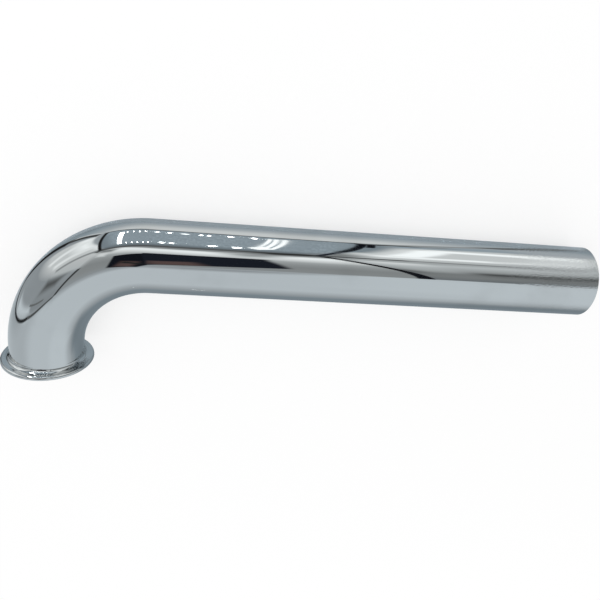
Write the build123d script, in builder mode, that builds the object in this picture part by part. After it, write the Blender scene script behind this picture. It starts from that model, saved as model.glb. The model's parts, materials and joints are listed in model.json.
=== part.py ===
"""Flanged waste pipe elbow: one brass tube, bent square, with one end turned out into a flange.

The long arm ends plain, for a slip joint. The short collar ends in the flange, whose flat face
seals against a washer and whose back takes the nut. The elbow lies on its side, as it comes to
rest: the arm touches the floor along its length and the flange touches with its back edge.
Millimetres, +Z up, with the origin on the floor under the middle of the elbow's box.
"""

import os
from math import asin, atan2, cos, hypot, sin

from build123d import *

# Driving dimensions
tube_od = 38.1  # outside of the tube, the 1 1/2 inch waste size
wall = 1.2  # tube wall, 17 gauge
bend_radius = 54.0  # centreline radius of the bend
arm_length = 237.0  # straight arm, from the bend to the plain end
collar_length = 8.6  # straight collar, from the bend to the sealing face
flange_width = 4.75  # how far the flange stands out from the tube
flange_thickness = 2.2  # folded flange, from its back to the sealing face
flange_rim = 1.4  # rounding of the flange's back outer edge, where the fold turns over
seal_rim = 0.6  # rounding of the sealing face's outer edge
flange_root = 2.4  # outside radius between the tube and the flange's back
mouth_radius = 1.5  # rounding where the bore opens into the sealing face
end_break = 0.3  # chamfer on the plain end's two edges

# Sizes that follow from them
tube_radius = tube_od / 2
bore_radius = tube_radius - wall
flange_radius = tube_radius + flange_width
reach = bend_radius + arm_length  # collar axis to plain end
drop = bend_radius + collar_length  # arm axis to sealing face
rim_round = min(flange_rim, 0.65 * flange_thickness)
seal_round = min(seal_rim, 0.3 * flange_thickness)
end_chamfer = min(end_break, 0.45 * wall)

# Lean of the bend's plane, in radians, at which the rounded back edge of the flange meets the floor
rim_ring = flange_radius - rim_round  # ring through the middle of that rounding
rim_back = drop - flange_thickness + rim_round  # arm axis to the ring
lean = atan2(rim_ring, rim_back) - asin((tube_radius - rim_round) / hypot(rim_ring, rim_back))

# Corner where the two axes cross, with the elbow's box centred over the origin
flange_front = (drop - seal_round) * cos(lean) + (flange_radius - seal_round) * sin(lean) + seal_round
corner = Vector((flange_radius - reach) / 2, (flange_front - tube_radius) / 2, tube_radius)
bend_plane = Plane(corner, x_dir=(1, 0, 0), z_dir=(0, sin(lean), cos(lean)))

with BuildPart() as waste_elbow:
    # Tube: a ring swept from the sealing face, round the bend and along the arm
    with BuildLine(bend_plane) as centreline:
        FilletPolyline((0, -drop), (0, 0), (reach, 0), radius=bend_radius)
    seal_plane = Plane(centreline.line @ 0, z_dir=centreline.line % 0)
    collar_axis = Axis(seal_plane.origin, seal_plane.z_dir)
    with BuildSketch(seal_plane):
        Circle(tube_radius)
        Circle(bore_radius, mode=Mode.SUBTRACT)
    sweep()

    # Flange: a flat ring round the collar, flush with its end
    with BuildSketch(seal_plane):
        Circle(flange_radius)
        Circle(bore_radius, mode=Mode.SUBTRACT)
    extrude(amount=flange_thickness)

    # Root of the flange, where its back runs into the tube
    seal_face, flange_back = waste_elbow.faces().filter_by(seal_plane).sort_by(collar_axis)
    fillet(flange_back.inner_wires().edges(), flange_root)

    # Outer rim of the flange, fuller on its back than round the sealing face
    seal_face, flange_back = waste_elbow.faces().filter_by(seal_plane).sort_by(collar_axis)
    fillet(flange_back.outer_wire().edges(), rim_round)
    seal_face = waste_elbow.faces().filter_by(seal_plane).sort_by(collar_axis)[0]
    fillet(seal_face.outer_wire().edges(), seal_round)

    # Mouth of the bore in the sealing face
    seal_face = waste_elbow.faces().filter_by(seal_plane).sort_by(collar_axis)[0]
    fillet(seal_face.inner_wires().edges(), mouth_radius)

    # Deburred edges of the plain end
    chamfer(waste_elbow.faces().sort_by(Axis.X)[-1].edges(), end_chamfer)

waste_elbow.part.label = "waste_elbow"

os.makedirs("parts", exist_ok=True)
export_step(waste_elbow.part, "parts/waste_elbow.step")
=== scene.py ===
"""Chromed waste pipe elbow, lying on a pale floor inside a small white photo booth.

The elbow is one closed shell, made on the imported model's own sizes and dressed in bright chrome with
a rubbed slip end, a faced flange and a dull bore. The booth is painted on the world by direction, for
the chrome to mirror: pale walls, a dark opening in front and two rows of lamps overhead.
Metres, in the row frame.
"""

import json
import logging
from dataclasses import dataclass
from enum import Enum
from math import atan2, cos, degrees, hypot, pi, radians, sin

import bmesh
import bpy
from mathutils import Matrix, Vector


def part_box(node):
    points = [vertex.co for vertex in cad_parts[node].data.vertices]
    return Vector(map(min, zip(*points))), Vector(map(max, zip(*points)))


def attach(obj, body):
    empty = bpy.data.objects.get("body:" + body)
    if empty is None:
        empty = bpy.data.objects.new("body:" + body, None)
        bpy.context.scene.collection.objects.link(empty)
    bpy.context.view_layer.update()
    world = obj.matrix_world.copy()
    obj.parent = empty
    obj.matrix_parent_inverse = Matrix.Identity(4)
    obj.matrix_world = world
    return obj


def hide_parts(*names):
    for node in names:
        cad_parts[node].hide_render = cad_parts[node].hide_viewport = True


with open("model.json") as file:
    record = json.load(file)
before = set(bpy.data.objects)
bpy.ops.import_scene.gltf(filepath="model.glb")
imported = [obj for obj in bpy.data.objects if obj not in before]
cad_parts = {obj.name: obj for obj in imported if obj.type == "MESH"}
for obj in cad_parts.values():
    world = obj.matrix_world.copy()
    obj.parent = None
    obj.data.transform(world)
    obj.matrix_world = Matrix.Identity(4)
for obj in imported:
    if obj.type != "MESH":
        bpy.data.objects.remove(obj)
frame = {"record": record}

Colour = tuple[float, float, float]
Range = tuple[float, float]
Scales = tuple[float, float, float]
Socket = bpy.types.NodeSocket

MILLIMETRE = 0.001

log = logging.getLogger("waste_elbow")


class Skin(Enum):
    """The finishes of the elbow, by material slot."""

    CHROME = 0
    BORE = 1
    FACED = 2


@dataclass
class Graph:
    """A node tree, with short calls for the few nodes that the finishes and the booth are made of."""

    tree: bpy.types.NodeTree

    def node(self, kind: str, **settings: object) -> bpy.types.Node:
        """Adds a node.

        Args:
            kind: The node's Blender type.
            settings: Properties to set on it.

        Returns:
            The new node.
        """
        made = self.tree.nodes.new(kind)
        for name, value in settings.items():
            setattr(made, name, value)
        return made

    def feed(self, socket: Socket, value: object) -> None:
        """Links a socket to another, or sets its own value.

        Args:
            socket: The input to feed.
            value: An output socket, or a plain value.
        """
        if isinstance(value, bpy.types.NodeSocket):
            self.tree.links.new(value, socket)
        else:
            socket.default_value = value

    def math(self, operation: str, a: object, b: object = 0.0, c: object = 0.0) -> Socket:
        """One Math node.

        Args:
            operation: The node's operation.
            a: First input.
            b: Second input.
            c: Third input, for the operations that have one.

        Returns:
            The result's socket.
        """
        made = self.node("ShaderNodeMath", operation=operation)
        for socket, value in zip(made.inputs, (a, b, c)):
            self.feed(socket, value)
        return made.outputs[0]

    def plus(self, a: object, b: object) -> Socket:
        """The sum of two values."""
        return self.math("ADD", a, b)

    def minus(self, a: object, b: object) -> Socket:
        """The first value less the second."""
        return self.math("SUBTRACT", a, b)

    def times(self, a: object, b: object) -> Socket:
        """The product of two values."""
        return self.math("MULTIPLY", a, b)

    def vector(self, operation: str, a: object, b: object = (0.0, 0.0, 0.0)) -> bpy.types.Node:
        """One Vector Math node.

        Args:
            operation: The node's operation.
            a: First input.
            b: Second input.

        Returns:
            The node, for its Vector or its Value.
        """
        made = self.node("ShaderNodeVectorMath", operation=operation)
        self.feed(made.inputs[0], a)
        self.feed(made.inputs[1], b)
        return made

    def dot(self, a: object, b: object) -> Socket:
        """The dot product of two vectors."""
        return self.vector("DOT_PRODUCT", a, b).outputs["Value"]

    def step(self, value: object, low: object, high: object, to: Range = (0.0, 1.0)) -> Socket:
        """A smooth step.

        Args:
            value: What is measured.
            low: Where the step starts.
            high: Where the step ends.
            to: The result before and after it.

        Returns:
            The result's socket.
        """
        made = self.node("ShaderNodeMapRange", interpolation_type="SMOOTHSTEP")
        self.feed(made.inputs["Value"], value)
        self.feed(made.inputs["From Min"], low)
        self.feed(made.inputs["From Max"], high)
        made.inputs["To Min"].default_value = to[0]
        made.inputs["To Max"].default_value = to[1]
        return made.outputs["Result"]

    def mix(self, factor: object, a: object, b: object) -> Socket:
        """A mix of two colours.

        Args:
            factor: Share of the second.
            a: First colour.
            b: Second colour.

        Returns:
            The mixed colour's socket.
        """
        made = self.node("ShaderNodeMix", data_type="RGBA")
        self.feed(made.inputs[0], factor)
        self.feed(made.inputs[6], a)
        self.feed(made.inputs[7], b)
        return made.outputs[2]

    def noise(self, place: Socket, scale: float, detail: float = 2.0) -> Socket:
        """A noise value.

        Args:
            place: Coordinates.
            scale: Cells to the metre.
            detail: Octaves.

        Returns:
            The value's socket.
        """
        made = self.node("ShaderNodeTexNoise")
        made.inputs["Scale"].default_value = scale
        made.inputs["Detail"].default_value = detail
        self.feed(made.inputs["Vector"], place)
        return made.outputs["Fac"]

    def stretched(self, place: Socket, scale: Scales) -> Socket:
        """Coordinates scaled along each axis, for drawn marks."""
        return self.vector("MULTIPLY", place, scale).outputs["Vector"]

    def parts(self, place: Socket) -> tuple[Socket, ...]:
        """Takes a vector apart.

        Args:
            place: The vector.

        Returns:
            The sockets of its X, Y and Z.
        """
        made = self.node("ShaderNodeSeparateXYZ")
        self.feed(made.inputs[0], place)
        return tuple(made.outputs)

    def blend(self, factor: object, a: Socket, b: Socket) -> Socket:
        """A mix of two shaders.

        Args:
            factor: Share of the second.
            a: First shader.
            b: Second shader.

        Returns:
            The mixed shader's socket.
        """
        made = self.node("ShaderNodeMixShader")
        for socket, value in zip(made.inputs, (factor, a, b)):
            self.feed(socket, value)
        return made.outputs[0]

    def mirrored(self) -> Socket:
        """Whether the ray is one that a surface mirrors or lets through.

        Returns:
            The answer's socket.
        """
        path = self.node("ShaderNodeLightPath").outputs
        return self.math("MAXIMUM", path["Is Glossy Ray"], path["Is Transmission Ray"])


def rgba(colour: Colour) -> tuple[float, float, float, float]:
    """A colour with full alpha."""
    return (*colour, 1.0)


def put(name: str, data: bpy.types.ID) -> bpy.types.Object:
    """Puts a mesh, lamp or camera into the scene.

    Args:
        name: The object's name.
        data: Its data.

    Returns:
        The new object.
    """
    made = bpy.data.objects.new(name, data)
    bpy.context.scene.collection.objects.link(made)
    return made


@dataclass(frozen=True)
class Spine:
    """The elbow's centreline and section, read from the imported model."""

    corner: Vector
    rise: Vector
    tube_radius: float
    bore_radius: float
    flange_radius: float
    flange_thickness: float
    bend_radius: float
    drop: float
    reach: float

    @classmethod
    def read(cls, record: dict, low: Vector, high: Vector) -> "Spine":
        """Works the spine out from the mounts and the box.

        Args:
            record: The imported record.
            low: Lowest corner of the elbow's box.
            high: Highest corner of the elbow's box.

        Returns:
            The spine.
        """
        mounts = {mount["name"]: mount for mount in record["mounts"]}
        slip, inlet = mounts["slip_end"], mounts["inlet_bore"]
        seat, shoulder = mounts["flange_seat"], mounts["nut_shoulder"]
        rise = -Vector(seat["axis"]).normalized()
        arm = Vector(slip["pos_m"])
        corner = Vector((inlet["pos_m"][0], arm.y, arm.z))
        drop = (corner - Vector(seat["pos_m"])).dot(rise)
        inlet_half = inlet["dims"]["length_mm"] * MILLIMETRE / 2
        inlet_top = (Vector(inlet["pos_m"]) - corner).dot(rise) + inlet_half
        return cls(
            corner=corner,
            rise=rise,
            tube_radius=slip["dims"]["r_mm"] * MILLIMETRE,
            bore_radius=inlet["dims"]["r_mm"] * MILLIMETRE,
            flange_radius=corner.x - low.x,
            flange_thickness=(Vector(shoulder["pos_m"]) - Vector(seat["pos_m"])).dot(rise),
            bend_radius=min(-inlet_top, drop),
            drop=drop,
            reach=high.x - corner.x,
        )

    @property
    def along(self) -> Vector:
        """Direction of the arm, from the bend to its plain end."""
        return Vector((1.0, 0.0, 0.0))

    @property
    def out(self) -> Vector:
        """Direction square to the plane of the bend, upwards."""
        return self.along.cross(self.rise)

    @property
    def seal(self) -> Vector:
        """Middle of the sealing face."""
        return self.corner - self.drop * self.rise

    @property
    def collar(self) -> float:
        """Straight length from the sealing face to the bend."""
        return self.drop - self.bend_radius

    @property
    def end(self) -> float:
        """Place of the plain end along the row's X axis."""
        return self.corner.x + self.reach


class Metal:
    """A bare metal on object coordinates, for a finish to dress."""

    def __init__(self, name: str) -> None:
        """Makes the material.

        Args:
            name: The material's name.
        """
        self.material = bpy.data.materials.new(name)
        self.material.use_nodes = True
        self.graph = Graph(self.material.node_tree)
        self.shader = self.material.node_tree.nodes["Principled BSDF"]
        self.shader.inputs["Metallic"].default_value = 1.0
        self.place = self.graph.node("ShaderNodeTexCoord").outputs["Object"]

    def dress(self, share: Socket, colours: tuple[Colour, Colour], roughness: Socket) -> None:
        """Sets the colour and the roughness.

        Args:
            share: Share of the second colour.
            colours: The two colours.
            roughness: The roughness.
        """
        colour = self.graph.mix(share, rgba(colours[0]), rgba(colours[1]))
        self.graph.feed(self.shader.inputs["Base Color"], colour)
        self.graph.feed(self.shader.inputs["Roughness"], roughness)

    def relief(self, height: Socket, strength: float, depth: float) -> None:
        """Sets the fine relief.

        Args:
            height: Its height.
            strength: Its strength.
            depth: The depth of a height of 1, in metres.
        """
        bump = self.graph.node("ShaderNodeBump")
        bump.inputs["Strength"].default_value = strength
        bump.inputs["Distance"].default_value = depth
        self.graph.feed(bump.inputs["Height"], height)
        self.graph.feed(self.shader.inputs["Normal"], bump.outputs["Normal"])


@dataclass(frozen=True)
class BrightChrome:
    """Polished chrome, rubbed to a satin grain at the slip end."""

    colours: tuple[Colour, Colour] = ((0.549, 0.556, 0.554), (0.515, 0.521, 0.518))
    haze_scale: float = 38.0
    haze_range: Range = (0.5, 0.75)
    haze_roughness: Range = (0.025, 0.06)
    rubbed_roughness: float = 0.03
    rubbed_length: float = 0.056
    rubbed_fade: float = 0.024
    border_scale: float = 90.0
    turned_fade: Range = (0.00128, 0.0016)
    turned_pitch: float = 0.0004
    drawn_scale: Scales = (60.0, 900.0, 900.0)
    grain_scale: Scales = (800.0, 1600.0, 1600.0)
    drawn_relief: float = 0.0016
    grain_relief: float = 0.6
    turned_relief: float = 0.05
    depth: float = 0.0001

    def material(self, spine: Spine) -> bpy.types.Material:
        """Builds the finish.

        Args:
            spine: The elbow's centreline, for the place of the slip end.

        Returns:
            The material.
        """
        metal = Metal("bright_chrome")
        graph, place = metal.graph, metal.place

        # Faint haze in soft patches, as handling leaves it
        haze = graph.step(graph.noise(place, self.haze_scale, 3.0), *self.haze_range)

        # Slip end: rubbed zone with an uneven border, and turned lines right at the cut
        inward = graph.minus(spine.end, graph.parts(place)[0])
        ragged = graph.times(graph.minus(graph.noise(place, self.border_scale), 0.5), self.rubbed_fade)
        border = graph.plus(inward, ragged)
        rubbed = graph.step(border, self.rubbed_length - self.rubbed_fade, self.rubbed_length, (1.0, 0.0))
        turned = graph.step(inward, *self.turned_fade, (1.0, 0.0))

        # Roughness: polish, haze, then the rubbed grain
        drawn = graph.noise(graph.stretched(place, self.drawn_scale), 1.0, 3.0)
        grain = graph.noise(graph.stretched(place, self.grain_scale), 1.0)
        rough = graph.step(haze, 0.0, 1.0, self.haze_roughness)
        satin = graph.times(graph.plus(grain, 0.5), self.rubbed_roughness)
        wear = graph.math("MAXIMUM", rubbed, turned)
        metal.dress(haze, self.colours, graph.plus(rough, graph.times(satin, wear)))

        # Relief: polishing lines all over, grain in the rubbed zone, fine rings at the cut
        rings = graph.math("SINE", graph.times(inward, 2 * pi / self.turned_pitch))
        height = graph.times(drawn, self.drawn_relief)
        height = graph.plus(height, graph.times(graph.times(grain, rubbed), self.grain_relief))
        height = graph.plus(height, graph.times(graph.times(rings, turned), self.turned_relief))
        metal.relief(height, 1.0, self.depth)
        return metal.material


@dataclass(frozen=True)
class DullBore:
    """Thin dull plating over brass, as inside the tube."""

    colours: tuple[Colour, Colour] = ((0.34, 0.33, 0.31), (0.36, 0.27, 0.15))
    patch_scale: float = 60.0
    patch_range: Range = (0.42, 0.68)
    drawn_scale: Scales = (50.0, 1100.0, 1100.0)
    drawn_range: Range = (0.3, 0.7)
    roughness: Range = (0.26, 0.44)
    depth: float = 0.00004

    def material(self) -> bpy.types.Material:
        """Builds the finish.

        Returns:
            The material.
        """
        metal = Metal("dull_bore")
        graph = metal.graph
        patches = graph.step(graph.noise(metal.place, self.patch_scale, 4.0), *self.patch_range)
        drawn = graph.noise(graph.stretched(metal.place, self.drawn_scale), 1.0, 3.0)
        metal.dress(patches, self.colours, graph.step(drawn, *self.drawn_range, self.roughness))
        metal.relief(drawn, 0.5, self.depth)
        return metal.material


@dataclass(frozen=True)
class FacedFlange:
    """Chrome over a lathe-faced seat, with fine rings about the collar."""

    colours: tuple[Colour, Colour] = ((0.53, 0.536, 0.534), (0.46, 0.462, 0.458))
    smudge_scale: float = 170.0
    smudge_range: Range = (0.4, 0.7)
    roughness: Range = (0.11, 0.24)
    pitch: float = 0.00045
    depth: float = 0.00002

    def material(self, spine: Spine) -> bpy.types.Material:
        """Builds the finish.

        Args:
            spine: The elbow's centreline, for the collar's axis.

        Returns:
            The material.
        """
        metal = Metal("faced_flange")
        graph = metal.graph
        offset = graph.vector("SUBTRACT", metal.place, tuple(spine.seal)).outputs["Vector"]
        swing = graph.vector("CROSS_PRODUCT", offset, tuple(spine.rise)).outputs["Vector"]
        radius = graph.vector("LENGTH", swing).outputs["Value"]
        smudge = graph.step(graph.noise(metal.place, self.smudge_scale, 3.0), *self.smudge_range)
        metal.dress(smudge, self.colours, graph.step(smudge, 0.0, 1.0, self.roughness))
        metal.relief(graph.math("SINE", graph.times(radius, 2 * pi / self.pitch)), 0.3, self.depth)
        return metal.material


@dataclass
class WasteElbow:
    """The elbow: flange, collar, bend and arm as one closed shell."""

    spine: Spine
    rim_round: float = 1.4 * MILLIMETRE
    seal_round: float = 0.6 * MILLIMETRE
    root_round: float = 2.4 * MILLIMETRE
    mouth_round: float = 1.5 * MILLIMETRE
    end_break: float = 0.3 * MILLIMETRE
    segments: int = 160
    bend_steps: int = 72
    arm_steps: int = 24
    round_segments: int = 8
    end_segments: int = 1
    merge: float = 0.001 * MILLIMETRE
    near: float = 0.02 * MILLIMETRE

    def build(self) -> bpy.types.Object:
        """Makes the elbow, dresses it and ties it to the frame.

        Returns:
            The finished piece.
        """
        mesh = bpy.data.meshes.new("elbow_shell")
        shell = bmesh.new()
        self.turn_collar(shell)
        walls = ((self.spine.tube_radius, Skin.CHROME), (self.spine.bore_radius, Skin.BORE))
        starts = [(self.ring(shell, radius, self.spine.collar), skin) for radius, skin in walls]
        self.close_end(shell, [self.carry(shell, edges, skin) for edges, skin in starts])
        bmesh.ops.remove_doubles(shell, verts=shell.verts, dist=self.merge)
        bmesh.ops.recalc_face_normals(shell, faces=shell.faces)
        for face in shell.faces:
            face.smooth = True
        shell.to_mesh(mesh)
        mesh.normals_split_custom_set_from_vertices(self.broad_normals(shell))
        shell.free()
        piece = put("elbow_shell", mesh)
        self.dress(piece)
        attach(piece, "root")
        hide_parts("waste_elbow")
        return piece

    def turn_collar(self, shell: bmesh.types.BMesh) -> None:
        """Turns the flange and the collar about their axis, and rounds their edges.

        Args:
            shell: The mesh to add them to.
        """
        spine = self.spine
        section = (
            (spine.bore_radius, spine.collar),
            (spine.bore_radius, 0.0),
            (spine.flange_radius, 0.0),
            (spine.flange_radius, spine.flange_thickness),
            (spine.tube_radius, spine.flange_thickness),
            (spine.tube_radius, spine.collar),
        )
        points = [shell.verts.new(spine.seal + r * spine.along + h * spine.rise) for r, h in section]
        lines = [shell.edges.new(pair) for pair in zip(points, points[1:])]
        bmesh.ops.spin(
            shell,
            geom=points + lines,
            cent=spine.seal,
            axis=spine.rise,
            angle=2 * pi,
            steps=self.segments,
            use_merge=True,
        )
        bmesh.ops.remove_doubles(shell, verts=shell.verts, dist=self.merge)
        bmesh.ops.recalc_face_normals(shell, faces=shell.faces)
        for face in shell.faces:
            face.material_index = self.collar_skin(face).value
        edge_rounds = (
            (spine.bore_radius, 0.0, self.mouth_round),
            (spine.flange_radius, 0.0, self.seal_round),
            (spine.flange_radius, spine.flange_thickness, self.rim_round),
            (spine.tube_radius, spine.flange_thickness, self.root_round),
        )
        for radius, height, size in edge_rounds:
            self.soften(shell, self.ring(shell, radius, height), size, self.round_segments)

    def collar_skin(self, face: bmesh.types.BMFace) -> Skin:
        """The finish of one of the collar's faces.

        Args:
            face: The face.

        Returns:
            Its finish.
        """
        offset = face.calc_center_median() - self.spine.seal
        height = offset.dot(self.spine.rise)
        radius = (offset - height * self.spine.rise).length
        if height < self.merge:
            return Skin.FACED
        return Skin.BORE if radius < self.spine.bore_radius + self.merge else Skin.CHROME

    def ring(self, shell: bmesh.types.BMesh, radius: float, height: float) -> list[bmesh.types.BMEdge]:
        """Finds the ring of edges at one corner of the collar's section.

        Args:
            shell: The mesh.
            radius: Distance from the collar's axis.
            height: Distance from the sealing face.

        Returns:
            The ring's edges.
        """
        found = set()
        for vert in shell.verts:
            offset = vert.co - self.spine.seal
            level = offset.dot(self.spine.rise)
            away = (offset - level * self.spine.rise).length
            if max(abs(level - height), abs(away - radius)) < self.near:
                found.add(vert)
        return [edge for edge in shell.edges if found.issuperset(edge.verts)]

    def soften(
        self, shell: bmesh.types.BMesh, edges: list[bmesh.types.BMEdge], size: float, segments: int
    ) -> None:
        """Rounds a ring of edges.

        Args:
            shell: The mesh.
            edges: The ring.
            size: Radius of the rounding.
            segments: Its facets.
        """
        bmesh.ops.bevel(
            shell,
            geom=edges,
            offset=size,
            offset_type="OFFSET",
            affect="EDGES",
            segments=segments,
            profile=0.5,
            material=-1,
        )

    def carry(
        self, shell: bmesh.types.BMesh, edges: list[bmesh.types.BMEdge], skin: Skin
    ) -> list[bmesh.types.BMEdge]:
        """Carries one wall of the tube round the bend and along the arm.

        Args:
            shell: The mesh.
            edges: The wall's ring at the top of the collar.
            skin: The wall's finish.

        Returns:
            The wall's ring at the plain end.
        """
        spine = self.spine
        known = set(shell.faces)
        verts = list({vert for edge in edges for vert in edge.verts})
        turned = bmesh.ops.spin(
            shell,
            geom=verts + edges,
            cent=spine.corner + spine.bend_radius * (spine.along - spine.rise),
            axis=-spine.out,
            angle=pi / 2,
            steps=self.bend_steps,
        )["geom_last"]
        ring = [part for part in turned if isinstance(part, bmesh.types.BMEdge)]
        stride = (spine.reach - spine.bend_radius) / self.arm_steps
        for _ in range(self.arm_steps):
            grown = bmesh.ops.extrude_edge_only(shell, edges=ring)["geom"]
            ring = [part for part in grown if isinstance(part, bmesh.types.BMEdge)]
            moved = [part for part in grown if isinstance(part, bmesh.types.BMVert)]
            bmesh.ops.translate(shell, verts=moved, vec=stride * spine.along)
        for face in set(shell.faces) - known:
            face.material_index = skin.value
        return ring

    def close_end(self, shell: bmesh.types.BMesh, rings: list[list[bmesh.types.BMEdge]]) -> None:
        """Closes the plain end between the walls, and breaks its two edges.

        Args:
            shell: The mesh.
            rings: The outside and the inside wall's ring at the plain end.
        """
        cut = [edge for ring in rings for edge in ring]
        for face in bmesh.ops.bridge_loops(shell, edges=cut)["faces"]:
            face.material_index = Skin.CHROME.value
        self.soften(shell, cut, self.end_break, self.end_segments)

    def broad_normals(self, shell: bmesh.types.BMesh) -> list[Vector]:
        """Normals in which broad faces count for more, so that they stay flat up to their rounded edges.

        Args:
            shell: The finished mesh.

        Returns:
            A normal for each vertex.
        """
        normals = []
        for vert in shell.verts:
            lean = sum((face.calc_area() * face.normal for face in vert.link_faces), Vector())
            normals.append(lean.normalized())
        return normals

    def dress(self, piece: bpy.types.Object) -> None:
        """Gives the elbow its finishes, in the order of their slots.

        Args:
            piece: The elbow.
        """
        finishes = {
            Skin.CHROME: BrightChrome().material(self.spine),
            Skin.BORE: DullBore().material(),
            Skin.FACED: FacedFlange().material(self.spine),
        }
        for skin in Skin:
            piece.data.materials.append(finishes[skin])


@dataclass(frozen=True)
class Bearing:
    """A direction from the elbow, in degrees: round the bend's rise from its out side, and up."""

    azimuth: float
    elevation: float

    def direction(self) -> Vector:
        """Works the direction out.

        Returns:
            Its parts along the arm, up the rise and out.
        """
        level = cos(radians(self.elevation))
        turn = radians(self.azimuth)
        return Vector((level * sin(turn), sin(radians(self.elevation)), level * cos(turn)))


def overhead(along: float, out: float) -> Bearing:
    """The direction of a place on the booth's ceiling.

    Args:
        along: Ceiling heights along the arm.
        out: Ceiling heights towards the front.

    Returns:
        The direction.
    """
    return Bearing(degrees(atan2(along, out)), degrees(atan2(1.0, hypot(along, out))))


class Cast(Enum):
    """The slight colour casts of the booth's light: red and blue against green."""

    GREY = (0.94, 1.02)
    WHITE = (0.96, 1.01)
    PAPER = (0.91, 1.06)
    SKY = (0.83, 1.12)
    NIGHT = (0.82, 1.5)
    WARM = (1.5, 0.95)


GREY, WHITE, PAPER, SKY, NIGHT, WARM = Cast


@dataclass(frozen=True)
class Tone:
    """A level of light with a slight cast."""

    level: float
    cast: Cast = GREY

    def colour(self) -> tuple[float, float, float, float]:
        """The tone as a colour."""
        red, blue = self.cast.value
        return rgba((self.level * red, self.level, self.level * blue))


Shading = tuple[tuple[float, Tone], ...]


def ramp(*stops: tuple[float, float, Cast]) -> Shading:
    """A shading made of stops, each an elevation with a level and a cast."""
    return tuple((angle, Tone(level, cast)) for angle, level, cast in stops)


def flat(level: float, cast: Cast = GREY) -> Shading:
    """A shading of one tone."""
    return ramp((0.0, level, cast))


def bearings(*places: tuple[float, float]) -> tuple[Bearing, ...]:
    """Corners given by azimuth and elevation."""
    return tuple(Bearing(*place) for place in places)


def ceiling(*places: tuple[float, float]) -> tuple[Bearing, ...]:
    """Corners given by their place on the ceiling, along and out."""
    return tuple(overhead(*place) for place in places)


@dataclass(frozen=True)
class Card:
    """A flat panel of the booth with four corners, shaded by elevation."""

    corners: tuple[Bearing, ...]
    shading: Shading
    softness: float = 1.0

    def values(self) -> dict[str, object]:
        """Works out the panel's edges, each as a direction that points into it.

        Returns:
            The inputs of its node group.
        """
        points = [corner.direction() for corner in self.corners]
        middle = sum(points, Vector())
        found: dict[str, object] = {"Soft": radians(self.softness)}
        for i, point in enumerate(points):
            edge = point.cross(points[(i + 1) % len(points)]).normalized()
            found[f"Edge{i}"] = tuple(edge if edge.dot(middle) > 0 else -edge)
        return found


@dataclass(frozen=True)
class Seam:
    """A line in the booth: a dark one where two panels meet, or a bright fold."""

    start: Bearing
    stop: Bearing
    width: float
    tone: Tone = Tone(0.02)
    softness: float = 0.5

    @property
    def shading(self) -> Shading:
        """The seam's one tone."""
        return ((0.0, self.tone),)

    def values(self) -> dict[str, object]:
        """Works out the great circle along the seam and those across its ends.

        Returns:
            The inputs of its node group.
        """
        start, stop = self.start.direction(), self.stop.direction()
        across = start.cross(stop).normalized()
        return {
            "Across": tuple(across),
            "Start": tuple(across.cross(start)),
            "Stop": tuple(stop.cross(across)),
            "Half": radians(self.width) / 2,
            "Soft": self.softness,
        }


@dataclass(frozen=True)
class Lamp:
    """A small lamp on the booth's ceiling, placed in ceiling heights along and out."""

    along: float
    out: float
    half_length: float = 0.0045
    half_depth: float = 0.027
    tone: Tone = Tone(24.0, WHITE)

    @property
    def shading(self) -> Shading:
        """The lamp's one tone."""
        return ((0.0, self.tone),)

    def values(self) -> dict[str, object]:
        """The inputs of the lamp's node group."""
        return {"Along": self.along, "Out": self.out, "Length": self.half_length, "Depth": self.half_depth}


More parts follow.
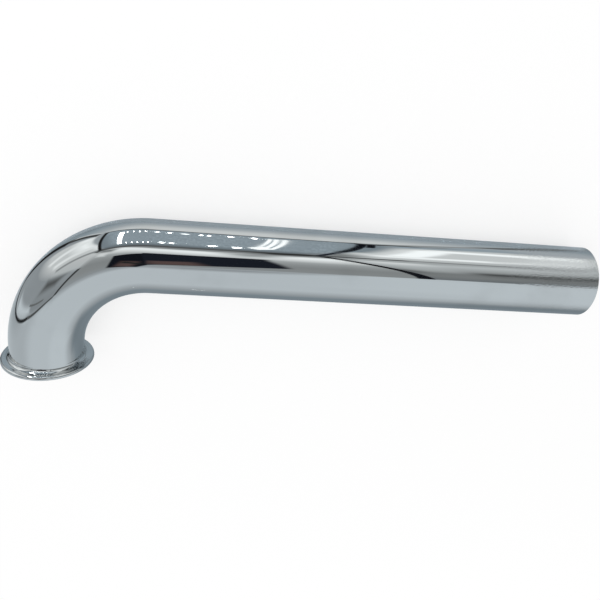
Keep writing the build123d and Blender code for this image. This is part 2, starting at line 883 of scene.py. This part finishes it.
class BoothPainter:
    """Paints the booth's panels, seams and lamps over each other, by direction."""

    def __init__(self, tree: bpy.types.NodeTree, spine: Spine) -> None:
        """Starts with the direction of the ray, in the elbow's own axes.

        Args:
            tree: The world's node tree.
            spine: The elbow's centreline.
        """
        self.graph = Graph(tree)
        ray = self.graph.node("ShaderNodeTexCoord").outputs["Generated"]
        axes = self.graph.node("ShaderNodeCombineXYZ")
        for socket, axis in zip(axes.inputs, (spine.along, spine.rise, spine.out)):
            self.graph.feed(socket, self.graph.dot(ray, tuple(axis)))
        self.ray = axes.outputs[0]
        _, self.rise, self.out = self.graph.parts(self.ray)
        self.groups = {
            Card: self.make_card_group(),
            Seam: self.make_seam_group(),
            Lamp: self.make_lamp_group(),
        }

    def group(
        self, name: str, vectors: tuple[str, ...], numbers: tuple[str, ...]
    ) -> tuple[Graph, dict[str, Socket]]:
        """Starts a node group that paints over a colour, by the ray.

        Args:
            name: The group's name.
            vectors: Its vector inputs, the ray apart.
            numbers: Its number inputs.

        Returns:
            The group's graph, and its inputs by name.
        """
        tree = bpy.data.node_groups.new(name, "ShaderNodeTree")
        kinds = {"Vector": ("Ray", *vectors), "Float": numbers, "Color": ("Under", "Paint")}
        for kind, labels in kinds.items():
            for label in labels:
                tree.interface.new_socket(label, in_out="INPUT", socket_type=f"NodeSocket{kind}")
        tree.interface.new_socket("Colour", in_out="OUTPUT", socket_type="NodeSocketColor")
        graph = Graph(tree)
        return graph, dict(graph.node("NodeGroupInput").outputs.items())

    def cover(self, graph: Graph, given: dict[str, Socket], share: Socket) -> bpy.types.NodeTree:
        """Ends a node group.

        Args:
            graph: The group's graph.
            given: Its inputs by name.
            share: How much the paint covers what is under it.

        Returns:
            The finished group.
        """
        result = graph.node("NodeGroupOutput").inputs["Colour"]
        graph.feed(result, graph.mix(share, given["Under"], given["Paint"]))
        return graph.tree

    def make_card_group(self) -> bpy.types.NodeTree:
        """Makes the node group of one panel.

        Returns:
            The group.
        """
        edges = ("Edge0", "Edge1", "Edge2", "Edge3")
        graph, given = self.group("booth_card", edges, ("Soft",))
        inside = graph.dot(given["Ray"], given[edges[0]])
        for edge in edges[1:]:
            inside = graph.math("MINIMUM", inside, graph.dot(given["Ray"], given[edge]))
        share = graph.step(inside, graph.times(given["Soft"], -1.0), given["Soft"])
        return self.cover(graph, given, share)

    def make_seam_group(self) -> bpy.types.NodeTree:
        """Makes the node group of one seam.

        Returns:
            The group.
        """
        graph, given = self.group("booth_seam", ("Across", "Start", "Stop"), ("Half", "Soft"))
        away = graph.math("ABSOLUTE", graph.dot(given["Ray"], given["Across"]))
        inside = graph.minus(given["Half"], away)
        for end in ("Start", "Stop"):
            inside = graph.math("MINIMUM", inside, graph.dot(given["Ray"], given[end]))
        blur = graph.times(given["Half"], given["Soft"])
        return self.cover(graph, given, graph.step(inside, graph.times(blur, -1.0), blur))

    def make_lamp_group(self) -> bpy.types.NodeTree:
        """Makes the node group of one lamp, an oval on the ceiling with a soft rim.

        Returns:
            The group.
        """
        lowest, rim = 0.05, (0.4, 1.4)
        graph, given = self.group("booth_lamp", (), ("Along", "Out", "Length", "Depth"))
        along, rise, out = graph.parts(given["Ray"])
        height = graph.math("MAXIMUM", rise, lowest)
        squares = []
        for axis, centre, half in ((along, "Along", "Length"), (out, "Out", "Depth")):
            offset = graph.minus(graph.math("DIVIDE", axis, height), given[centre])
            share = graph.math("DIVIDE", offset, given[half])
            squares.append(graph.times(share, share))
        return self.cover(graph, given, graph.step(graph.plus(*squares), *rim, (1.0, 0.0)))

    def shade(self, height: Socket, shading: Shading) -> Socket:
        """A ramp of tones.

        Args:
            height: What it follows, from -1 to 1.
            shading: The tones, each with its angle above the level where height is 0.

        Returns:
            The tone's socket.
        """
        made = self.graph.node("ShaderNodeValToRGB")
        self.graph.feed(made.inputs["Fac"], self.graph.math("MULTIPLY_ADD", height, 0.5, 0.5))
        stops = made.color_ramp.elements
        while len(stops) < len(shading):
            stops.new(1.0)
        for stop, (angle, tone) in zip(stops, shading):
            stop.position = (sin(radians(angle)) + 1.0) / 2
            stop.color = tone.colour()
        return made.outputs["Color"]

    def paint(self, under: Socket, piece: Card | Seam | Lamp) -> Socket:
        """Paints one panel, seam or lamp.

        Args:
            under: The colour so far.
            piece: What is painted over it.

        Returns:
            The painted colour's socket.
        """
        stops = piece.shading
        paint = stops[0][1].colour() if len(stops) == 1 else self.shade(self.rise, stops)
        made = self.graph.node("ShaderNodeGroup", node_tree=self.groups[type(piece)])
        values = {"Ray": self.ray, "Under": under, "Paint": paint, **piece.values()}
        for label, value in values.items():
            self.graph.feed(made.inputs[label], value)
        return made.outputs["Colour"]


@dataclass(frozen=True)
class PhotoBooth:
    """The white booth that the chrome mirrors, with even light for everything else."""

    spine: Spine
    ambient: float = 0.78
    weave_scale: Scales = (300.0, 0.0, 10.0)
    weave_range: Range = (0.3, 0.7)
    cloth_rise: Range = (5.0, 25.0)
    front_left_top: Bearing = Bearing(-45.5, 41.0)
    front_left_foot: Bearing = Bearing(-32.0, -10.8)
    front_right_top: Bearing = Bearing(16.7, 52.8)
    front_right_foot: Bearing = Bearing(20.3, 0.8)
    back_left_top: Bearing = Bearing(-126.0, 53.0)
    back_left_foot: Bearing = Bearing(-141.5, -6.5)
    back_right_top: Bearing = Bearing(137.0, 67.5)
    back_right_foot: Bearing = Bearing(147.0, 4.8)

    def build(self) -> bpy.types.World:
        """Makes the world.

        Returns:
            The world.
        """
        world = bpy.data.worlds.new("photo_booth")
        bpy.context.scene.world = world
        world.use_nodes = True
        painter = BoothPainter(world.node_tree, self.spine)
        graph = painter.graph
        paint = self.shell(painter)
        cloth = self.walls() + self.left_folds() + self.front_folds() + self.right_folds()
        lines = self.streaks() + self.seams() + self.crumpled_edge()
        for piece in cloth + self.opening() + lines + self.lamp_bars() + self.lamps():
            paint = painter.paint(paint, piece)
        camera_ray = graph.node("ShaderNodeLightPath").outputs["Is Camera Ray"]
        seen = graph.mix(camera_ray, rgba((self.ambient,) * 3), rgba((1.0, 1.0, 1.0)))
        backgrounds = [graph.node("ShaderNodeBackground") for _ in range(2)]
        for background, colour in zip(backgrounds, (seen, paint)):
            graph.feed(background.inputs["Color"], colour)
        world.node_tree.nodes.remove(world.node_tree.nodes["Background"])
        surface = graph.blend(graph.mirrored(), *(background.outputs[0] for background in backgrounds))
        graph.feed(world.node_tree.nodes["World Output"].inputs["Surface"], surface)
        return world

    def shell(self, painter: BoothPainter) -> Socket:
        """Paints the floor, in shade behind the elbow, and the ceiling.

        Args:
            painter: The painter.

        Returns:
            The painted colour's socket.
        """
        graph = painter.graph
        floor = ramp(
            (-40.0, 0.31, SKY), (-16.0, 0.38, SKY), (0.0, 0.56, PAPER), (22.0, 0.85, PAPER),
        )
        paper = painter.shade(painter.out, floor)
        weave = graph.noise(graph.stretched(painter.ray, self.weave_scale), 1.0)
        threads = graph.step(weave, *self.weave_range)
        cloth = graph.mix(threads, Tone(0.44, SKY).colour(), Tone(0.6, SKY).colour())
        above = graph.step(painter.rise, *(sin(radians(angle)) for angle in self.cloth_rise))
        return graph.mix(above, paper, cloth)

    def walls(self) -> tuple[Card, ...]:
        """The shades on the floor and along the ceiling's edges, and the booth's four walls.

        Returns:
            The panels, in the order of painting.
        """
        back = (self.back_left_top, self.back_left_foot, self.back_right_foot, self.back_right_top)
        left = (self.front_left_top, self.front_left_foot, self.back_left_foot, self.back_left_top)
        right = (self.front_right_top, self.front_right_foot, self.back_right_foot, self.back_right_top)
        front = (self.front_left_top, self.front_left_foot, self.front_right_foot, self.front_right_top)
        back_shades = ramp(
            (-6, 0.6, PAPER), (6, 0.44, SKY), (32, 0.5, SKY), (46, 0.66, PAPER), (60, 1, WHITE),
        )
        left_shades = ramp(
            (-13, 0.8, PAPER), (-6, 0.5, PAPER), (11, 0.46, PAPER), (21, 0.95, WHITE), (33, 0.95, WHITE),
            (45, 1.5, WHITE), (49, 1.3, WHITE), (51.5, 0.55, PAPER),
        )
        right_shades = ramp(
            (3, 0.26, PAPER), (12, 0.33, GREY), (18, 0.27, GREY), (23.5, 0.1, GREY), (29, 0.5, GREY),
            (34, 0.65, GREY), (41, 0.84, GREY), (47, 0.62, GREY), (57, 0.98, WHITE),
        )
        front_shades = ramp(
            (-12, 0.5, PAPER), (2, 0.42, GREY), (14, 0.4, GREY), (22, 0.48, GREY), (29, 0.62, GREY),
            (34, 1, WHITE), (42, 1.5, WHITE), (44.5, 1.35, WHITE), (47.5, 0.42, GREY),
        )
        return (
            Card(bearings((-50, -6), (-165, -6), (-150, -58), (-50, -64)), flat(0.7, PAPER), 16),
            Card(bearings((14, -2), (60, -2), (75, -50), (18, -42)), flat(0.91, PAPER), 9),
            Card(bearings((96, -38), (140, -38), (140, -66), (96, -66)), flat(0.33, SKY), 10),
            Card(
                bearings((-33, -8), (-29, -17), (4, -13), (12, -2)),
                ramp((-18, 0.78, PAPER), (-8, 0.5, PAPER)),
                4,
            ),
            Card(ceiling((-0.85, 0.9), (0.24, 0.82), (0.25, 0.56), (-0.85, 0.56)), flat(0.27, SKY), 5),
            Card(ceiling((-0.95, 0.6), (-0.95, -0.2), (-0.57, -0.2), (-0.57, 0.6)), flat(0.37, SKY), 4),
            Card(back, back_shades),
            Card(left, left_shades, 0.8),
            Card(right, right_shades, 0.7),
            Card(front, front_shades, 0.7),
        )

    def left_folds(self) -> tuple[Card, ...]:
        """Shades in the cloth of the left wall, and of the back one beside it.

        Returns:
            The panels, in the order of painting.
        """
        return (
            Card(
                bearings((-143, 26), (-146, -12), (-178, -12), (-178, 26)),
                ramp((-6, 0.46, PAPER), (2, 0.36, SKY)),
                5,
            ),
            Card(
                bearings((-127, 50), (-137, -8), (-121, -9), (-114, 50)),
                ramp((8, 0.45, PAPER), (19, 0.5, PAPER), (45, 0.46, PAPER)),
                3,
            ),
            Card(
                bearings((-66, 46), (-68, -10), (-32, -12), (-42, 41)),
                ramp(
                    (-10, 0.4, PAPER), (11, 0.5, PAPER), (16, 0.78, GREY), (28, 0.85, WHITE),
                    (40, 0.98, WHITE),
                ),
                4,
            ),
            Card(bearings((-64, 11), (-61, 2), (-45, 3), (-45, 11.5)), flat(0.15), 5),
            Card(bearings((-112, -4), (-104, -11), (-64, -9.5), (-68, -6)), flat(0.95, PAPER), 2.6),
        )

    def front_folds(self) -> tuple[Card, ...]:
        """Shades on the front wall, at both ends of its bright top.

        Returns:
            The panels, in the order of painting.
        """
        return (
            Card(bearings((-46, 41), (-40, 35), (-31, 36), (-29.5, 43)), flat(0.35), 3),
            Card(bearings((-38.5, 34.5), (-36, 28), (-30, 27), (-32, 34)), flat(1.1, WHITE), 2),
            Card(
                bearings((2, 44), (3.5, 36.5), (7.5, 38), (12.5, 50)),
                ramp((37, 0.75, GREY), (44, 0.5, GREY)),
                2,
            ),
            Card(bearings((6, 51.5), (6.5, 46.5), (13.5, 47.5), (14.5, 52)), flat(0.33), 1.2),
        )

    def right_folds(self) -> tuple[Card, ...]:
        """Shades and bright creases in the cloth of the right wall.

        Returns:
            The panels, in the order of painting.
        """
        return (
            Card(
                bearings((112, 58), (112, 2), (146, 2), (139, 60)),
                ramp((20, 0.46, SKY), (36, 0.45, SKY), (50, 0.66, PAPER), (57, 0.6, PAPER)),
                3,
            ),
            Card(ceiling((0.27, -0.34), (0.56, -0.57), (0.56, -0.35), (0.3, -0.14)), flat(0.55, SKY), 2.2),
            Card(
                bearings((20.3, 46), (20.8, 3), (25.5, 3), (27, 44)),
                ramp(
                    (3, 0.27, PAPER), (12, 0.34, GREY), (20, 0.33, GREY), (27, 0.6, GREY),
                    (36, 0.78, GREY), (43, 1.15, WHITE),
                ),
                1.8,
            ),
            Card(bearings((16, 55), (19, 49), (27, 57), (30, 65)), flat(0.36), 2),
            Card(bearings((56, 56), (54, 50), (84, 54), (92, 60)), flat(1.12, WHITE), 3),
            Card(ceiling((0.3, 0.4), (0.36, 0.4), (0.38, -0.1), (0.31, -0.02)), flat(1.3, WHITE), 2),
            Card(ceiling((0.226, 0.32), (0.268, 0.29), (0.31, -0.22), (0.26, -0.3)), flat(0.38, SKY), 1.3),
        )

    def opening(self) -> tuple[Card, ...]:
        """The dark opening in the front wall with a warm glow low down, and the wedge of its right post.

        Returns:
            The panels, in the order of painting.
        """
        glow = ramp((-8, 0.11, WARM), (2, 0.08, WARM), (9, 0.04, WARM))
        return (
            Card(bearings((-22.9, 24.6), (-15.9, -3.2), (-7.2, -11.8), (7, 31.5)), flat(0.0125, NIGHT), 0.6),
            Card(bearings((-9, 30.2), (-5.2, -3), (7.8, 7.7), (6.2, 32)), flat(0.02, NIGHT), 0.6),
            Card(bearings((-14.6, 9), (-13.6, -3), (-8.8, -9), (-7.5, 5)), glow, 1.6),
            Card(bearings((-5.2, 8), (-5, -1.5), (0.2, 1.8), (-1.2, 11.5)), flat(0.1, WARM), 1.2),
            Card(bearings((15.3, 54), (17.4, 54), (19.65, 18), (18.7, 18)), flat(0.004, NIGHT), 0.1),
            Card(bearings((18.5, 20), (19.65, 20), (20.7, 0.5), (19.1, 0.5)), flat(0.01, NIGHT), 0.12),
        )

    def streaks(self) -> tuple[Seam, ...]:
        """The bright ridges of the cloth on the left wall and the right one.

        Returns:
            The lines, in the order of painting.
        """
        return (
            Seam(Bearing(-95, 20.5), Bearing(-101, 47.5), 7, Tone(1.32, WHITE)),
            Seam(Bearing(-79, 21.5), Bearing(-67, 46), 6.5, Tone(1.27, WHITE)),
            Seam(Bearing(33, 61.5), Bearing(52, 56.8), 5, Tone(1.55, WHITE)),
            Seam(Bearing(52, 56.8), Bearing(66, 53.5), 4, Tone(1.25, WHITE)),
            Seam(overhead(0.34, 0.38), overhead(0.368, -0.08), 3, Tone(1.7, WHITE)),
            Seam(overhead(0.36, -0.085), overhead(0.64, -0.09), 6.5, Tone(1.65, WHITE)),
        )

    def seams(self) -> tuple[Seam, ...]:
        """The dark lines along the booth's edges.

        Returns:
            The lines, in the order of painting.
        """
        outer_bend, left_corner = Bearing(-131, 24.5), Bearing(-119, -11.8)
        foot_turn, crease_turn = Bearing(-63, -12.3), Bearing(30, 51)
        return (
            Seam(self.front_left_top, self.front_right_top, 4.5, Tone(0.15)),
            Seam(Bearing(8, 51), self.front_right_top, 4.5, Tone(0.05)),
            Seam(Bearing(-13, 5), Bearing(-6.5, -2.5), 2.2, Tone(0.03)),
            Seam(self.front_right_top, crease_turn, 3, Tone(0.12)),
            Seam(crease_turn, Bearing(44, 46.5), 2.6, Tone(0.38)),
            Seam(Bearing(44, 46.5), Bearing(46, 41), 2.4, Tone(0.42)),
            Seam(Bearing(-36, 13), self.front_left_foot, 2.4, Tone(0.06)),
            Seam(Bearing(-67, 19), Bearing(-47, 41.5), 4.5, Tone(0.45)),
            Seam(Bearing(-44, 44), Bearing(-45.5, 37), 4, Tone(0.15)),
            Seam(self.front_left_top, self.back_left_top, 2.2),
            Seam(Bearing(-119.5, 49.5), outer_bend, 4.5, Tone(0.08)),
            Seam(outer_bend, Bearing(-139.5, -9), 8.5, Tone(0.02)),
            Seam(Bearing(-70, -4.8), Bearing(-46, -6), 1.3, Tone(0.22)),
            Seam(self.front_left_foot, foot_turn, 2, Tone(0.11)),
            Seam(foot_turn, left_corner, 2.1, Tone(0.01)),
            Seam(left_corner, Bearing(-141, -8), 2.4, Tone(0.02)),
            Seam(self.back_left_top, self.back_right_top, 2.2, Tone(0.1)),
            Seam(self.back_right_top, Bearing(140, 50), 2.5, Tone(0.45)),
            Seam(Bearing(140, 50), self.back_right_foot, 3, Tone(0.2)),
        )

    def crumpled_edge(self) -> tuple[Seam, ...]:
        """The crumpled right edge of the ceiling's cloth, with its two loops at the back.

        Returns:
            The lines, in the order of painting.
        """
        turn, hook = overhead(0.226, 0.36), overhead(0.239, 0.04)
        back, stretched = overhead(0.256, -0.3), overhead(0.36, -0.325)
        night = Tone(0.01, NIGHT)
        return (
            Seam(self.front_right_top, turn, 0.8, Tone(0.03, NIGHT), 0.2),
            Seam(turn, hook, 1.05, night, 0.2),
            Seam(hook, back, 1, night, 0.2),
            Seam(overhead(0.262, -0.05), overhead(0.273, -0.31), 0.8, night, 0.2),
            Seam(overhead(0.25, -0.28), overhead(0.278, -0.31), 5, night, 0.3),
            Seam(back, stretched, 3, Tone(0.14)),
            Seam(stretched, overhead(0.43, -0.38), 2.4, Tone(0.4)),
        )

    def lamp_bars(self) -> tuple[Card, ...]:
        """The bars of light at the ends of the ceiling: a broad one, and a slatted one with a tail.

        Returns:
            The panels, in the order of painting.
        """
        bright, white = flat(10, WHITE), flat(2, WHITE)
        return (
            Card(ceiling((-0.493, 0.52), (-0.437, 0.52), (-0.367, -0.22), (-0.423, -0.22)), bright, 0.1),
            Card(ceiling((0.07, 0.43), (0.092, 0.545), (0.117, 0.46), (0.09, 0.3)), white, 0.1),
            Card(ceiling((0.084, 0.33), (0.092, 0.33), (0.105, -0.21), (0.098, -0.21)), white, 0.06),
            Card(ceiling((0.0955, 0.4), (0.1045, 0.4), (0.1165, -0.215), (0.1075, -0.215)), white, 0.06),
            Card(ceiling((0.108, 0.46), (0.117, 0.46), (0.131, -0.22), (0.121, -0.22)), white, 0.06),
        )

    def lamps(self) -> tuple[Lamp, ...]:
        """The two rows of lamps along the ceiling.

        Returns:
            The lamps.
        """
        front = [Lamp(-0.373 + 0.07 * i, 0.49) for i in range(4)]
        front += [Lamp(-0.109, 0.475, 0.005), Lamp(-0.0745, 0.45, 0.0035), Lamp(-0.0575, 0.45, 0.0028)]
        front += [Lamp(0.011 + 0.043 * i, 0.483, 0.007) for i in range(2)]
        far = [Lamp(-0.335 + 0.069 * i, -0.205) for i in range(4)]
        far += [Lamp(-0.077, -0.2, 0.0016), Lamp(-0.057, -0.2, 0.0022)]
        far += [Lamp(-0.033, -0.185, 0.007, 0.022, Tone(4, WHITE))]
        far += [Lamp(-0.008, -0.178, 0.0018), Lamp(0.004, -0.178, 0.0022)]
        far += [Lamp(0.038 + 0.038 * i, -0.188, 0.004) for i in range(2)]
        return tuple(front + far)


@dataclass(frozen=True)
class Floor:
    """A plain pale floor, which the chrome mirrors close to where the elbow lies on it; in the chrome it
    shows darker, a painted shade round the elbow.
    """

    spine: Spine
    half_size: float = 1.6
    seen: Colour = (1.0, 1.0, 1.0)
    # The floor's colour in the chrome's reflections: a darker blue-grey, painted shade round the elbow.
    mirrored: Colour = (0.53, 0.61, 0.67)
    lift: float = 0.68
    near: float = 0.01
    fade: float = 0.005
    clear: float = 0.3
    flange_gap: float = 0.03

    def build(self) -> bpy.types.Object:
        """Makes the floor.

        Returns:
            The floor.
        """
        mesh = bpy.data.meshes.new("floor")
        sheet = bmesh.new()
        bmesh.ops.create_grid(sheet, x_segments=1, y_segments=1, size=self.half_size)
        sheet.to_mesh(mesh)
        sheet.free()
        floor = put("floor", mesh)
        floor.data.materials.append(self.material())
        return floor

    def clearance(self, graph: Graph) -> Socket:
        """How far a place on the floor is from the elbow's footprint.

        Args:
            graph: The floor's node tree.

        Returns:
            The distance's socket.
        """
        spine = self.spine
        east, north, _ = graph.parts(graph.node("ShaderNodeTexCoord").outputs["Object"])
        left = graph.math("MINIMUM", graph.minus(east, spine.corner.x + spine.bend_radius), 0.0)
        up = graph.math("MAXIMUM", graph.minus(north, spine.corner.y - spine.bend_radius), 0.0)
        square = graph.plus(graph.times(left, left), graph.times(up, up))
        off_line = graph.minus(graph.math("SQRT", square), spine.bend_radius)
        aside = graph.minus(graph.math("ABSOLUTE", off_line), spine.tube_radius)
        before = graph.minus(spine.seal.y + self.flange_gap, north)
        past = graph.math("MAXIMUM", graph.minus(east, spine.end), before)
        return graph.math("MAXIMUM", aside, past)

    def material(self) -> bpy.types.Material:
        """Builds the floor's finish.

        Returns:
            The material.
        """
        made = bpy.data.materials.new("pale_floor")
        made.use_nodes = True
        graph = Graph(made.node_tree)
        made.node_tree.nodes.clear()
        away = self.clearance(graph)
        beyond = graph.step(away, self.near - self.fade, self.near + self.fade)
        lift = graph.step(away, self.near, self.clear, (self.lift, 1.0))
        mirrored = graph.mirrored()
        paper = graph.node("ShaderNodeBsdfDiffuse")
        # Reflected rays see the darker colour: painted shade on the floor round the elbow.
        graph.feed(paper.inputs["Color"], graph.mix(mirrored, rgba(self.seen), rgba(self.mirrored)))
        glow = graph.node("ShaderNodeEmission").outputs[0]
        clear = graph.node("ShaderNodeBsdfTransparent").outputs[0]
        camera_ray = graph.node("ShaderNodeLightPath").outputs["Is Camera Ray"]
        lifted = graph.blend(graph.times(camera_ray, lift), paper.outputs[0], glow)
        surface = graph.blend(graph.times(beyond, mirrored), lifted, clear)
        graph.feed(graph.node("ShaderNodeOutputMaterial").inputs["Surface"], surface)
        return made


@dataclass(frozen=True)
class SoftLight:
    """A wide lamp overhead, for a soft shadow."""

    place: Vector = Vector((-0.25, 0.35, 1.3))
    size: float = 1.1
    power: float = 5.0

    def build(self) -> bpy.types.Object:
        """Makes the lamp.

        Returns:
            The lamp.
        """
        data = bpy.data.lights.new("soft_light", "AREA")
        data.shape = "DISK"
        data.size = self.size
        data.energy = self.power
        lamp = put("soft_light", data)
        lamp.matrix_world = Matrix.LocRotScale(self.place, self.place.to_track_quat("Z", "Y"), None)
        lamp.visible_glossy = False
        return lamp


@dataclass(frozen=True)
class PhotoCamera:
    """The camera, looking down on the elbow as it lies."""

    eye: Vector = Vector((-0.05233, 0.175487, 0.314549))
    aim: Vector = Vector((-0.00002, 0.00089, 0.01905))
    roll: float = -7.1387
    lens: float = 38.08
    sensor: float = 36.0
    nearest: float = 0.01

    def build(self, spine: Spine) -> bpy.types.Object:
        """Makes the camera and sets it as the scene's.

        Args:
            spine: The elbow's centreline, whose rise is up in the picture.

        Returns:
            The camera.
        """
        data = bpy.data.cameras.new("photo_camera")
        data.lens = self.lens
        data.sensor_width = self.sensor
        data.clip_start = self.nearest
        data.dof.use_dof = False
        ahead = (self.aim - self.eye).normalized()
        upright = (spine.rise - spine.rise.dot(ahead) * ahead).normalized()
        sideways = ahead.cross(upright)
        tilt = radians(self.roll)
        up = cos(tilt) * upright + sin(tilt) * sideways
        axes = Matrix((ahead.cross(up), up, -ahead)).transposed().to_4x4()
        camera = put("photo_camera", data)
        camera.matrix_world = Matrix.Translation(self.eye) @ axes
        bpy.context.scene.camera = camera
        return camera


def main() -> None:
    """Builds the elbow, then the booth, floor, lamp and camera round it."""
    logging.basicConfig(level=logging.INFO, format="%(name)s: %(message)s")
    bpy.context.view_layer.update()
    bpy.context.scene.view_settings.view_transform = "Standard"
    low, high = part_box("waste_elbow")
    spine = Spine.read(frame["record"], low, high)
    log.info("spine: bend %.2f mm, drop %.2f mm", spine.bend_radius / MILLIMETRE, spine.drop / MILLIMETRE)
    elbow = WasteElbow(spine).build()
    log.info("%s: %d faces", elbow.name, len(elbow.data.polygons))
    log.info("world: %s", PhotoBooth(spine).build().name)
    log.info("stage: %s", Floor(spine).build().name)
    log.info("lamp: %s", SoftLight().build().name)
    log.info("camera: %s", PhotoCamera().build(spine).name)


if __name__ == "__main__":
    main()
